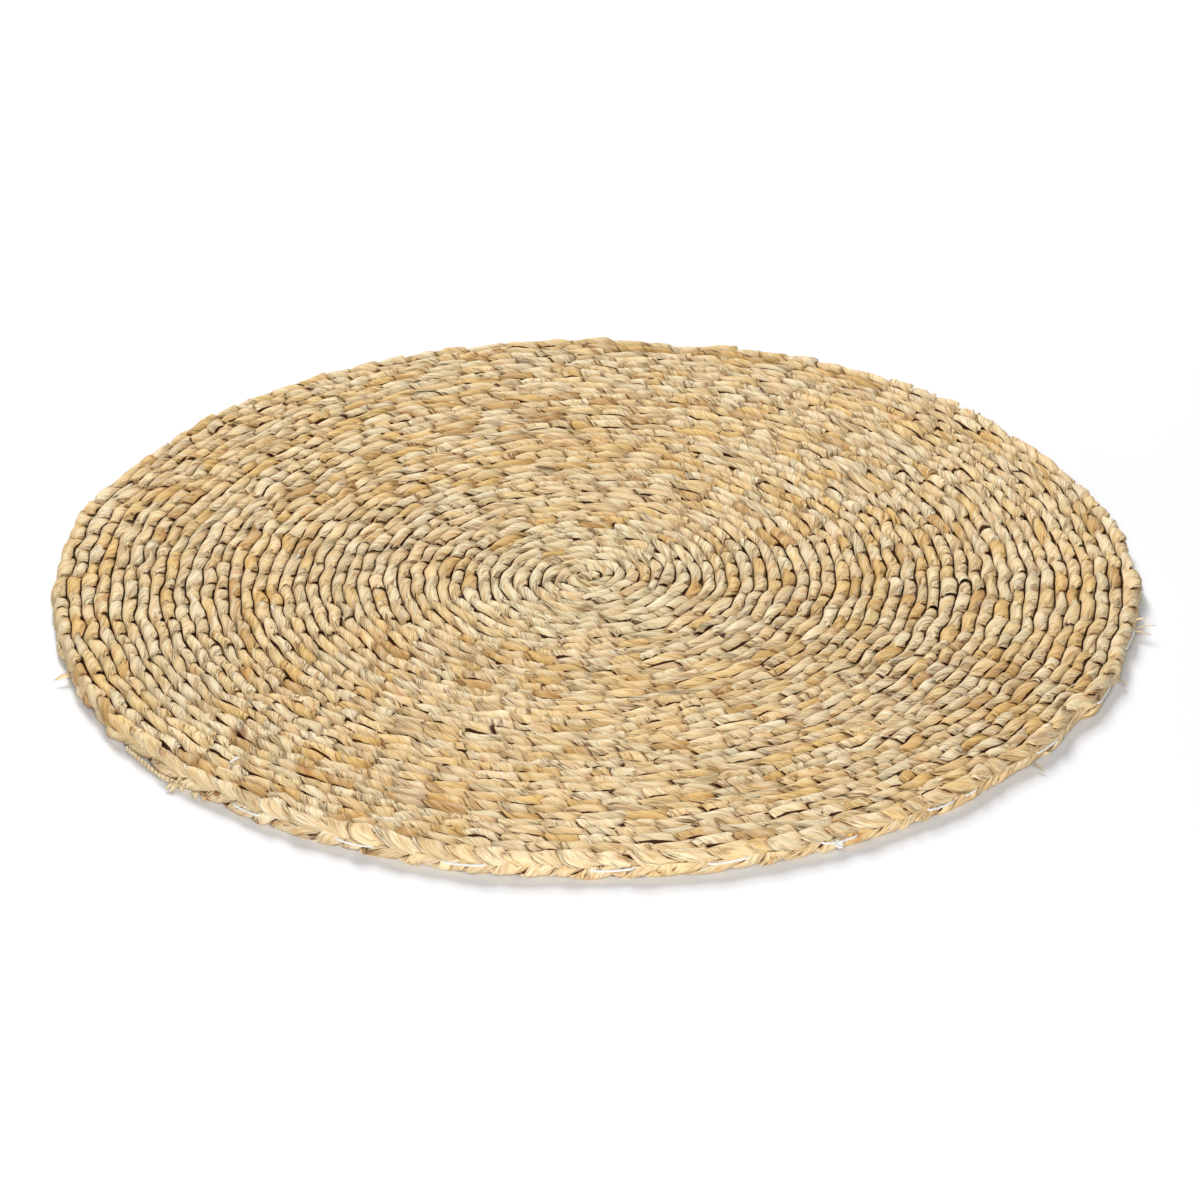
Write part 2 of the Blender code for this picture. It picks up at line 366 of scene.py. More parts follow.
def tube_shell(rings, maps, closed):
    """A tube through rings of points: its vertices, corners, the faces' first corners and its UV maps.
    maps gives each UV map's two values, for every ring and point."""
    count, sides = rings.shape[:2]
    row = np.arange(count if closed else count - 1)[:, None]
    column = np.arange(sides)[None]
    after, beside = (row + 1) % count, (column + 1) % sides
    here, next_ring = row * sides, after * sides
    corners = np.stack([here + column, here + beside, next_ring + beside, next_ring + column], -1).ravel()
    starts = np.arange(0, len(corners), 4)
    if not closed:
        caps = np.concatenate([np.arange(sides)[::-1], (count - 1) * sides + np.arange(sides)])
        starts = np.concatenate([starts, [len(corners), len(corners) + sides]])
        corners = np.concatenate([corners, caps])
    uv_maps = {}
    for map_name, values in maps.items():
        seam = values[:, :1].copy()
        if map_name == "fibre":
            seam[..., 1] = values[:, -1:, 1] + SEAM
        grid = np.concatenate([values, seam], 1)
        if closed:
            last_row = 2 * grid[-1:] - grid[-2:-1] if map_name == "fibre" else grid[-1:]
            grid = np.concatenate([grid, last_row])
        near, far = grid[:-1], grid[1:]
        uv = np.stack([near[:, :-1], near[:, 1:], far[:, 1:], far[:, :-1]], 2).reshape(-1, 2)
        if not closed:
            uv = np.concatenate([uv, values[0][::-1], values[-1]])
        uv_maps[map_name] = uv
    return rings.reshape(-1, 3), corners, starts, uv_maps


def shells_mesh(name, shells):
    """One object of one or more shells."""
    vertices = np.concatenate([shell[0] for shell in shells])
    first_vertex = np.cumsum([0] + [len(shell[0]) for shell in shells])
    first_corner = np.cumsum([0] + [len(shell[1]) for shell in shells])
    corners = np.concatenate([shell[1] + first for shell, first in zip(shells, first_vertex)])
    starts = np.concatenate([shell[2] + first for shell, first in zip(shells, first_corner)])
    mesh = bpy.data.meshes.new(name)
    mesh.vertices.add(len(vertices))
    mesh.vertices.foreach_set("co", vertices.astype(np.float32).ravel())
    mesh.loops.add(len(corners))
    mesh.loops.foreach_set("vertex_index", corners.astype(np.int32))
    mesh.polygons.add(len(starts))
    mesh.polygons.foreach_set("loop_start", starts.astype(np.int32))
    mesh.update(calc_edges=True)
    mesh.shade_smooth()
    mesh.set_sharp_from_angle(angle=SHARP_ANGLE)
    for map_name in shells[0][3]:
        uv = np.concatenate([shell[3][map_name] for shell in shells])
        mesh.uv_layers.new(name=map_name).uv.foreach_set("vector", uv.astype(np.float32).ravel())
    piece = bpy.data.objects.new(name, mesh)
    bpy.context.scene.collection.objects.link(piece)
    return piece


def dress(piece, material):
    piece.data.materials.append(material)
    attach(piece, "root")
    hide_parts(NODE)


def surface_maps(phase, along, x, deep, seed, on_rim):
    """UV maps of a strand: fibre, the way along and across its fibres in millimetres; leaf, random
    values for each leaf, which lasts some bumps, and for each bump; shade, how many millimetres deep a
    point lies under the plait's skin and how near it is to the plait's sides; and plain, how far it is
    from the middle of the strand's back."""
    loop = loop_position(phase, RIM_CROSS_FAST if on_rim else CROSS_FAST)
    path = np.concatenate([[0], np.cumsum(np.hypot(np.diff(loop), np.diff(along)))]) / MM
    steps = np.hypot(*(np.diff(OUTER_SECTION, axis=0) / MM * (BACK_WIDTH, 1)).T)
    across = np.concatenate([[0], np.cumsum(steps)])
    bump = np.floor(phase * 2 + 0.5).astype(int)
    bump -= bump.min()
    draw = np.random.default_rng(seed)
    first_row = np.searchsorted(bump, np.arange(bump.max() + 2))
    on_bump = path - (path[first_row[:-1]] + path[first_row[1:] - 1])[bump] / 2
    slant = draw.uniform(*FIBRE_SLANTS, bump.max() + 1)[bump] * (RIM_SLANT if on_rim else 1)
    fan = draw.uniform(*FIBRE_FANS, bump.max() + 1)[bump]
    slanted = across + (slant * on_bump)[:, None] + (fan * on_bump)[:, None] * (across - BACK_MIDDLE)
    fibre = np.stack([np.broadcast_to(path[:, None], slanted.shape), slanted], -1)
    leaf_of_bump = np.cumsum(draw.random(bump.max() + 1) < LEAF_CHANGE)
    tones = draw.random(leaf_of_bump.max() + 1)
    if not on_rim:
        near_centre = np.arange(len(tones)) < PALE_LEAVES
        tones = np.where(near_centre & (draw.random(len(tones)) < PALE_CHANCE), PALE_TONE, tones)
    lights = draw.random(bump.max() + 1)
    leaf = np.stack([tones[leaf_of_bump[bump]], lights[bump]], -1)
    leaf = np.broadcast_to(leaf[:, None], (len(bump), SIDES, 2))
    side = np.abs(x) / (TURN_PITCH / 2)
    if on_rim:
        side = np.where(x > 0, 0.0, side)
    # shade carries depth and nearness to the turn's sides, for the painted shade
    shade = np.stack([deep, side], -1)
    edges = np.abs(across - BACK_MIDDLE) * (RIM_EDGE if on_rim else 1)
    plain = np.stack([np.broadcast_to(edges, deep.shape), np.zeros(deep.shape)], -1)
    return {"fibre": fibre, "leaf": leaf, "shade": shade, "plain": plain}


def coil_lengths():
    """Turns along the spiral, and the plait's length up to each of them."""
    turns = np.linspace(0, SPIRAL_TURNS, 200001)
    middles = place(turns - 0.5, turn_angle(turns), 0.0)
    steps = np.linalg.norm(np.diff(middles, axis=0), axis=1)
    return turns, np.concatenate([[0], np.cumsum(steps)])


def ring_phases(number, bump_place, first_length, last_length, bumps):
    phase = (np.arange(-1, bumps // STRANDS + 2)[:, None] + np.array(RINGS)).ravel()
    along = bump_place(STRANDS * phase + number)
    return phase[(along >= first_length) & (along <= last_length)]


def spiral_strand(number, material):
    turns, lengths = coil_lengths()
    bumps = int(lengths[-1] / BUMP_LENGTH) + 60
    bump_place = bump_places(bumps, BUMP_SEEDS[0])
    first_length = np.interp(START_TURN, turns, lengths)
    phase = ring_phases(number, bump_place, first_length, lengths[-1] - TUCKED_IN, bumps)
    seed = SHAPE_SEEDS[0] + 100 * number
    along, place_along, x, z, deep = strand_grid(phase, number, bump_place, seed, False)
    turn = np.interp(place_along, lengths, turns)
    width = coil_edge(turn) - (turn - 1)
    middle = turn - 1 + width / 2
    widths = middle + x / TURN_PITCH * width
    height = HALF_HEIGHT + z * (END_HEIGHT + (1 - END_HEIGHT) * width)
    rings = pressed(place(widths, turn_angle(turn), height))
    maps = surface_maps(phase, along, x, deep, LEAF_SEEDS[0] + number, on_rim=False)
    # The two pieces meet where the strand is hidden in the core
    hidden = np.flatnonzero(np.isclose(phase % 1, 0.25))
    cut_length = np.interp(SPIRAL_TURNS * OUTER_PART, turns, lengths)
    cut = hidden[np.searchsorted(hidden, np.searchsorted(along, cut_length))]
    for part, rows in (("inner", slice(0, cut + 1)), ("outer", slice(cut, None))):
        part_maps = {name: values[rows] for name, values in maps.items()}
        name = f"plait_strand_{number + 1}_{part}"
        shell = tube_shell(rings[rows], part_maps, closed=False)
        dress(shells_mesh(name, [shell]), material)


def rim_strand(number, material):
    length = FULL * OUTER_RADIUS
    periods = round(length / (STRANDS * BUMP_LENGTH))
    bump_place = bump_places(STRANDS * periods, BUMP_SEEDS[1], length)
    phase = (np.arange(periods)[:, None] + np.array(RIM_RINGS)).ravel()
    seed = SHAPE_SEEDS[1] + 100 * number
    along, place_along, x, z, deep = strand_grid(phase, number, bump_place, seed, True, length)
    angle = turn_angle(place_along / length)
    widths = coil_edge(last_lap(angle)) + 0.5 + x / TURN_PITCH
    rings = pressed(place(widths, angle, HALF_HEIGHT + z))
    maps = surface_maps(phase, along, x, deep, LEAF_SEEDS[1] + number, on_rim=True)
    shell = tube_shell(rings, maps, closed=True)
    dress(shells_mesh(f"rim_strand_{number + 1}", [shell]), material)


# Sewing thread: degrees counter-clockwise from +X of the stitches' middles on the rim's face
SEEN_STITCHES = (232.6, 245.2, 256.8, 271.3, 282.7, 294.4, 306.5, 310.6, 322.8)
STITCH_STEP = 12.2              # degrees, for the stitches on the far side
LAST_HIDDEN_STITCH = 186        # from here to the first that is seen, the photo shows none
STITCH_LENGTH = 15.0 * MM
SHORT_STITCH, SHORT_LENGTH = 310.6, 6 * MM
STITCH_HEIGHT = 4.3 * MM
STITCH_DIP = 2.2 * MM           # how far a stitch's ends go into the rim
STITCH_POINTS = 17
STITCH_OUT = 0.55               # of the thread's radius, from the rim's face to the thread's middle
DIP_FROM, DIP_OVER = 0.80, 0.20     # parts of half a stitch, at each end, where it goes into the rim
STITCH_LENGTHS = (0.85, 1.15)   # the least and the most, as parts of STITCH_LENGTH
STITCH_LEANS = (-0.3, 0.3)      # millimetres that one end is higher than the middle, and the other lower
STITCH_SAGS = (0.1, 0.5)        # millimetres that the middle hangs
THREAD_RADIUS = 0.42 * MM
THREAD_TWIST = 3.2 * MM         # length of one turn of its two plies
PLY_GROOVE = 0.20               # depth of the groove between them, as a part of the thread's radius
THREAD_SIDES = 10
NO_THREAD_WAY = (0.31, 0.17, 0.94)    # a direction that no thread runs in
KNOT_ANGLE = 294.1
KNOT_SIZE = 0.58 * MM
KNOT_OUT = 1.4 * MM             # from the rim's face to the knot's middle
KNOT_LOW = 0.5 * MM             # how much lower it is than the stitches
KNOT_THREAD = 0.9               # its thread's radius, as a part of the stitches'


def strands_surface():
    """The strands' surfaces, to lay thread and loose leaf on."""
    vertices = []
    faces = []
    for piece in bpy.context.scene.objects:
        if piece.name.startswith(("plait_strand", "rim_strand")):
            first = len(vertices)
            vertices += [tuple(vertex.co) for vertex in piece.data.vertices]
            faces += [tuple(first + index for index in face.vertices) for face in piece.data.polygons]
    return BVHTree.FromPolygons(vertices, faces)


def taut(values):
    """The least that a tight thread over these heights can have at each place."""
    places = np.arange(len(values))
    result = values.copy()
    for first in places:
        for last in places[first + 2:]:
            between = places[first:last + 1]
            line = np.interp(between, (first, last), (values[first], values[last]))
            result[between] = np.maximum(result[between], line)
    return result


def thread_shell(path, radius):
    """A two-ply thread along a path of points."""
    steps = np.diff(path, axis=0)
    along = np.concatenate([[0], np.cumsum(np.linalg.norm(steps, axis=1))])
    tangent = np.gradient(path, axis=0)
    tangent /= np.linalg.norm(tangent, axis=1)[:, None]
    first = np.cross(tangent, NO_THREAD_WAY)
    first /= np.linalg.norm(first, axis=1)[:, None]
    second = np.cross(tangent, first)
    around = FULL * np.arange(THREAD_SIDES) / THREAD_SIDES
    ridge = np.abs(np.cos(around[None] - FULL * along[:, None] / (2 * THREAD_TWIST)))
    reach = radius * (1 - PLY_GROOVE + PLY_GROOVE * ridge)[..., None]
    outwards = np.cos(around)[:, None] * first[:, None] + np.sin(around)[:, None] * second[:, None]
    rings = path[:, None] + reach * outwards
    fibre = np.stack(np.broadcast_arrays(along[:, None] / MM, around[None]), -1)
    return tube_shell(rings, {"fibre": fibre}, closed=False)


def rim_reach(surface, angle, height):
    """How far out the rim's face is."""
    outwards = Vector((math.cos(angle), math.sin(angle), 0))
    start = outwards * (OUTER_RADIUS + 20 * MM) + Vector((0, 0, height))
    hit = surface.ray_cast(start, -outwards)[0]
    return math.hypot(hit.x, hit.y)


def rim_stitch(surface, degrees, length, lean, sag):
    """A stitch that lies on the rim's face and dips into it at both ends."""
    share = np.linspace(-1, 1, STITCH_POINTS)
    angle = math.radians(degrees) + share * length / 2 / OUTER_RADIUS
    height = STITCH_HEIGHT + lean * share - sag * (1 - share ** 2)
    reach = np.array([rim_reach(surface, at, level) for at, level in zip(angle, height)])
    reach = taut(reach) + STITCH_OUT * THREAD_RADIUS
    reach -= STITCH_DIP * smooth((np.abs(share) - DIP_FROM) / DIP_OVER)
    return np.stack([reach * np.cos(angle), reach * np.sin(angle), height], -1)


def knot_path(middle, outwards):
    """A trefoil knot."""
    turn = np.linspace(0, FULL, 49)
    upwards = np.array((0.0, 0.0, 1.0))
    sideways = np.cross(upwards, outwards)
    x = np.sin(turn) + 2 * np.sin(2 * turn)
    y = np.cos(turn) - 2 * np.cos(2 * turn)
    z = -np.sin(3 * turn)
    return middle + KNOT_SIZE * (
        x[:, None] * sideways + 0.8 * y[:, None] * upwards + 0.9 * z[:, None] * outwards
    )


def add_stitches(surface, material):
    draw = np.random.default_rng(STITCH_SEED)
    seen = list(SEEN_STITCHES)
    hidden = list(np.arange(seen[-1] + STITCH_STEP, LAST_HIDDEN_STITCH + 360, STITCH_STEP))
    shells = []
    for degrees in seen + hidden:
        length = STITCH_LENGTH * draw.uniform(*STITCH_LENGTHS)
        if degrees == SHORT_STITCH:
            length = SHORT_LENGTH
        lean = draw.uniform(*STITCH_LEANS) * MM
        sag = draw.uniform(*STITCH_SAGS) * MM
        shells.append(thread_shell(rim_stitch(surface, degrees, length, lean, sag), THREAD_RADIUS))
    at = math.radians(KNOT_ANGLE)
    outwards = np.array((math.cos(at), math.sin(at), 0.0))
    out = rim_reach(surface, at, STITCH_HEIGHT) + KNOT_OUT
    middle = outwards * out + np.array((0, 0, STITCH_HEIGHT - KNOT_LOW))
    shells.append(thread_shell(knot_path(middle, outwards), THREAD_RADIUS * KNOT_THREAD))
    dress(shells_mesh("rim_stitches", shells), material)


# Torn tips: where each starts, where it ends and its width, all in millimetres, and its tone
FRAYS = (
    ((186.8, -29.0, 4.5), (191.5, -30.5, 6.2), 1.1, 0.25),
    ((187.5, -33.0, 3.6), (194.6, -33.4, 5.0), 0.9, 0.99),
    ((187.0, -34.0, 3.0), (192.5, -36.5, 3.0), 0.8, 0.60),
    ((-180.8, -58.2, 3.2), (-186.0, -60.6, 2.2), 2.4, 0.15),
    ((-139.9, -128.9, 1.8), (-143.1, -132.2, 1.2), 2.4, 1.00),
    ((-139.2, -129.6, 1.6), (-141.4, -133.6, 0.9), 2.1, 1.00),
    ((-138.2, -130.2, 1.4), (-137.6, -133.2, 0.7), 1.7, 1.00),
    ((-133.4, -135.2, 1.8), (-132.6, -138.4, 1.3), 2.6, 0.25),
    ((-130.4, -137.4, 1.6), (-129.8, -140.2, 1.2), 2.2, 0.65),
    ((144.6, -121.6, 2.2), (148.6, -125.4, 1.6), 1.6, 0.25),
    ((176.4, -66.0, 2.6), (181.0, -69.8, 2.2), 1.3, 0.99),
)
FRAY_POINTS = 9
FRAY_CURL = 0.6 * MM
STRIP_FROM, STRIP_TO = 213.5, 223.0     # degrees, of the flat strip along the rim's foot
STRIP_HEIGHT = 1.5 * MM
STRIP_WIDTH = 1.9 * MM
STRIP_RIB = 2.1 * MM            # the strip is gathered by stitches this far apart
STRIP_RIB_DEPTH = 0.30 * MM
STRIP_FELT = 3.2 * MM           # the strip follows the rim's face as it is at this height
STRIP_OUT = 0.25 * MM
STRIP_TONE = 0.22
LEAF_THICKNESS = 0.25 * MM
STRIP_SIDES = 8
TOP_STITCHES = (                # short ones: middle in millimetres, way in degrees, and length
    (-121.8, 52.2, 50, 4.0), (-105.7, 15.4, 75, 3.6), (-113.1, -21.3, 105, 4.4), (-141.5, -14.3, 95, 3.2),
    (-69.6, 82.7, 40, 3.4), (-120.4, -124.8, 54, 6.0), (-120.0, -125.2, 50, 4.6),
)
TOP_POINTS = 11
TOP_LIFT = 0.15 * MM
TOP_DIP = 1.2 * MM
TOP_THREAD = 0.7                # their thread's radius, as a part of the rim's
SLIVERS = 260                   # thin loose fibres that lie along the turns
SLIVER_SLANT = 0.5              # radians that one may lie across them
SLIVER_TONES = (0.25, 0.60, 0.95, 0.99)
SLIVER_LENGTHS = (4, 9)         # millimetres, and the widths too
SLIVER_WIDTHS = (0.25, 0.5)
SLIVER_LIFT = 0.08 * MM
SLIVER_POINTS = 7
SLIVER_BEND = 0.08              # how much one is bent, as a part of its length
WHITE_LEAF = ((-127.5, -127.5), (-120.0, -135.0), 3.0)    # start, end and width, in millimetres
WHITE_TONE = 0.995
WHITE_LIFT = -0.3 * MM


def strip_shell(path, across, widths, thickness, tone, deep=0.0):
    """A flat strip of leaf along a path of points; across points over its width."""
    along = np.concatenate([[0], np.cumsum(np.linalg.norm(np.diff(path, axis=0), axis=1))])
    tangent = np.gradient(path, axis=0)
    tangent /= np.linalg.norm(tangent, axis=1)[:, None]
    up = np.cross(tangent, across)
    up /= np.linalg.norm(up, axis=1)[:, None]
    across = np.cross(up, tangent)
    around = FULL * np.arange(STRIP_SIDES) / STRIP_SIDES
    side = (widths / 2)[:, None] * np.cos(around)
    lift = thickness / 2 * np.sin(around) * np.ones_like(side)
    rings = path[:, None] + side[..., None] * across[:, None] + lift[..., None] * up[:, None]
    zero = np.zeros_like(side)
    maps = {
        "fibre": np.stack([along[:, None] / MM + zero, side / MM + 40 * tone], -1),
        "leaf": np.stack([zero + tone, zero + 0.5], -1),
        # deep paints shade here as on the strands
        "shade": np.stack([zero + np.reshape(deep, (-1, 1)), zero], -1),
        "plain": np.stack([zero, zero], -1),
    }
    return tube_shell(rings, maps, closed=False)


def top_height(surface, x, y):
    hit = surface.ray_cast(Vector((x, y, 0.05)), Vector((0, 0, -1)))[0]
    return hit.z if hit else 0.0


def fray_shell(start, end, width, tone, draw):
    """A curled, pointed bit of leaf."""
    share = np.linspace(0, 1, FRAY_POINTS)[:, None]
    start = np.array(start) * MM
    way = np.array(end) * MM - start
    path = start + way * share
    path[:, 2] += FRAY_CURL * np.sin(share[:, 0] * math.pi) * draw.uniform(0.4, 1.2)
    across = np.cross(way, (0, 0, 1))
    across = across / np.linalg.norm(across) + np.array((0, 0, draw.uniform(-0.3, 0.3)))
    twist = np.tile(across, (FRAY_POINTS, 1))
    widths = width * MM * (1 - 0.75 * share[:, 0] ** 3) * (1 + 0.12 * draw.normal(0, 1, FRAY_POINTS))
    return strip_shell(path, twist, widths, LEAF_THICKNESS, tone)


def rim_strip_shell(surface):
    """The flat, gathered strip along the rim's foot."""
    length = math.radians(STRIP_TO - STRIP_FROM) * OUTER_RADIUS
    count = int(12 * length / STRIP_RIB)
    angle = np.radians(np.linspace(STRIP_FROM, STRIP_TO, count))
    share = np.linspace(0, 1, count)
    reach = np.array([rim_reach(surface, at, STRIP_FELT) for at in angle])
    reach = taut(reach) + STRIP_OUT
    rib = np.abs(np.sin(math.pi * share * length / STRIP_RIB))
    reach += STRIP_RIB_DEPTH * np.sqrt(rib)
    height = STRIP_HEIGHT + 0.2 * MM * np.sin(7 * share)
    path = np.stack([reach * np.cos(angle), reach * np.sin(angle), height], -1)
    across = np.stack([0.25 * np.cos(angle), 0.25 * np.sin(angle), -np.ones(count)], -1)
    widths = STRIP_WIDTH * (0.90 + 0.12 * rib) * (1 - 0.6 * smooth((0.04 - share) / 0.04))
    # painted shade: dark in the grooves between the strip's gathered ribs
    gathered = 0.9 * (1 - smooth(rib / 0.45))
    return strip_shell(path, across, widths, 1.3 * LEAF_THICKNESS, STRIP_TONE, gathered)


def sliver_shell(surface, middle, way, length, width, tone, lift):
    """A thin strip that lies on the top."""
    share = np.linspace(-1, 1, SLIVER_POINTS)
    bend = SLIVER_BEND * length * (1 - share ** 2)
    x = middle[0] + share * length / 2 * way[0] - bend * way[1]
    y = middle[1] + share * length / 2 * way[1] + bend * way[0]
    height = np.array([top_height(surface, *at) for at in zip(x, y)])
    height = taut(height) + lift
    path = np.stack([x, y, height], -1)
    across = np.tile((-way[1], way[0], 0.0), (SLIVER_POINTS, 1))
    widths = width * (1 - 0.85 * share ** 2)
    return strip_shell(path, across, widths, 0.6 * width, tone)


def add_loose_leaf(surface, material):
    draw = np.random.default_rng(LOOSE_SEED)
    shells = [fray_shell(*fray, draw) for fray in FRAYS]
    shells.append(rim_strip_shell(surface))
    dress(shells_mesh("rim_frays", shells), material)
    shells = []
    for _ in range(SLIVERS):
        radius = OUTER_RADIUS * math.sqrt(draw.uniform(0.01, 0.95))
        at = draw.uniform(0, FULL)
        middle = np.array((radius * math.cos(at), radius * math.sin(at)))
        slant = at + FULL / 4 - draw.uniform(0.0, SLIVER_SLANT)
        way = (math.cos(slant), math.sin(slant))
        tone = draw.choice(SLIVER_TONES)
        length = draw.uniform(*SLIVER_LENGTHS) * MM
        width = draw.uniform(*SLIVER_WIDTHS) * MM
        shells.append(sliver_shell(surface, middle, way, length, width, tone, SLIVER_LIFT))
    start, end, width = (np.array(value) * MM for value in WHITE_LEAF)
    way = (end - start) / np.linalg.norm(end - start)
    length = float(np.linalg.norm(end - start))
    middle = (start + end) / 2
    shells.append(sliver_shell(surface, middle, way, length, float(width), WHITE_TONE, WHITE_LIFT))
    dress(shells_mesh("loose_slivers", shells), material)


def add_top_stitches(surface, material):
    shells = []
    for x, y, degrees, length in TOP_STITCHES:
        share = np.linspace(-1, 1, TOP_POINTS)
        way = (math.cos(math.radians(degrees)), math.sin(math.radians(degrees)))
        px = x * MM + share * length / 2 * MM * way[0]
        py = y * MM + share * length / 2 * MM * way[1]
        height = taut(np.array([top_height(surface, *at) for at in zip(px, py)]))
        height += TOP_LIFT - TOP_DIP * smooth((np.abs(share) - 0.7) / 0.3)
        shells.append(thread_shell(np.stack([px, py, height], -1), TOP_THREAD * THREAD_RADIUS))
    dress(shells_mesh("top_stitches", shells), material)


def srgb(red, green, blue):
    """A colour from its values of 0 to 255, as a shader takes it."""
    values = (red, green, blue)
    return tuple(((c / 255 + 0.055) / 1.055) ** 2.4 if c > 10 else c / 3294 for c in values) + (1.0,)


class Nodes:
    """Short calls for building a material's nodes."""

    def __init__(self, name):
        self.material = bpy.data.materials.new(name)
        self.material.use_nodes = True
        self.tree = self.material.node_tree
        self.shader = self.tree.nodes["Principled BSDF"]

    def add(self, kind, **settings):
        node = self.tree.nodes.new(kind)
        for key, value in settings.items():
            setattr(node, key, value)
        return node

    def link(self, source, target):
        if isinstance(source, (int, float, tuple)):
            target.default_value = source
        else:
            self.tree.links.new(source, target)

    def math(self, operation, *values):
        node = self.add("ShaderNodeMath", operation=operation)
        for value, socket in zip(values, node.inputs):
            self.link(value, socket)
        return node.outputs[0]

    def uv(self, name):
        """The two values of a UV map."""
        node = self.add("ShaderNodeSeparateXYZ")
        self.link(self.add("ShaderNodeUVMap", uv_map=name).outputs[0], node.inputs[0])
        return node.outputs[0], node.outputs[1]

    def vector(self, x, y, z):
        node = self.add("ShaderNodeCombineXYZ")
        for value, socket in zip((x, y, z), node.inputs):
            self.link(value, socket)
        return node.outputs[0]

    def noise(self, vector, detail):
        node = self.add("ShaderNodeTexNoise")
        self.link(vector, node.inputs["Vector"])
        node.inputs["Scale"].default_value = 1.0
        node.inputs["Detail"].default_value = detail
        return node.outputs["Fac"]

    def span(self, value, low, high, to_low=0.0, to_high=1.0):
        node = self.add("ShaderNodeMapRange", clamp=True)
        for item, socket in zip((value, low, high, to_low, to_high), node.inputs):
            self.link(item, socket)
        return node.outputs[0]

    def ramp(self, value, *stops):
        node = self.add("ShaderNodeValToRGB")
        elements = node.color_ramp.elements
        while len(elements) < len(stops):
            elements.new(0.5)
        for element, (position, colour) in zip(elements, stops):
            element.position = position
            element.color = colour
        self.link(value, node.inputs[0])
        return node.outputs[0]

    def mix(self, share, first, second, blend="MIX"):
        node = self.add("ShaderNodeMix", data_type="RGBA", blend_type=blend)
        self.link(share, node.inputs[0])
        self.link(first, node.inputs[6])
        self.link(second, node.inputs[7])
        return node.outputs[2]

    def over(self, colour, share, most, paint):
        """A paint, of values of 0 to 255, over a colour."""
        return self.mix(self.math("MULTIPLY", share, most), colour, srgb(*paint))

    def bump(self, height, distance):
        node = self.add("ShaderNodeBump")
        node.inputs["Strength"].default_value = 1.0
        node.inputs["Distance"].default_value = distance
        self.link(height, node.inputs["Height"])
        return node.outputs[0]


# Brown spots, the second a small hole in the rim whose brown and shade are painted: the middle's place and
# the radius in millimetres, how strong the spot is, and its colour
SPOTS = (
    (-119.4, -108.4, 8.5, 3.0, 0.65, (158, 84, 48)),
    (-125.8, -142.0, 4.6, 1.8, 0.85, (138, 86, 34)),
)

# The leaf's colours by tone, 0 to 255, and the paints that lie over them; the colours for folds, wrinkles,
# between turns, where a strand sinks and under a leaf are painted shade
LEAF_TONES = (
    (0.00, (236, 213, 168)), (0.25, (239, 223, 186)), (0.45, (234, 206, 150)), (0.65, (238, 214, 172)),
    (0.86, (232, 198, 134)), (0.92, (224, 187, 122)), (0.95, (200, 162, 108)), (1.00, (241, 227, 187)),
)
TAN = (214, 170, 104)
PINK = (204, 138, 88)
STAIN = (158, 104, 56)
BLEACHED = (238, 232, 208)
FIBRE_LINE = (156, 104, 50)
FOLD_SHADE = (104, 52, 16)
WRINKLE_SHADE = (122, 68, 24)
SHADE_BETWEEN_TURNS = (60, 24, 6)
SHADE_WHERE_SUNK = (182, 122, 60)
SHADE_UNDER_LEAF = (62, 26, 6)
LIGHTNESS = (0.95, 1.04)        # from the darkest bump to the lightest


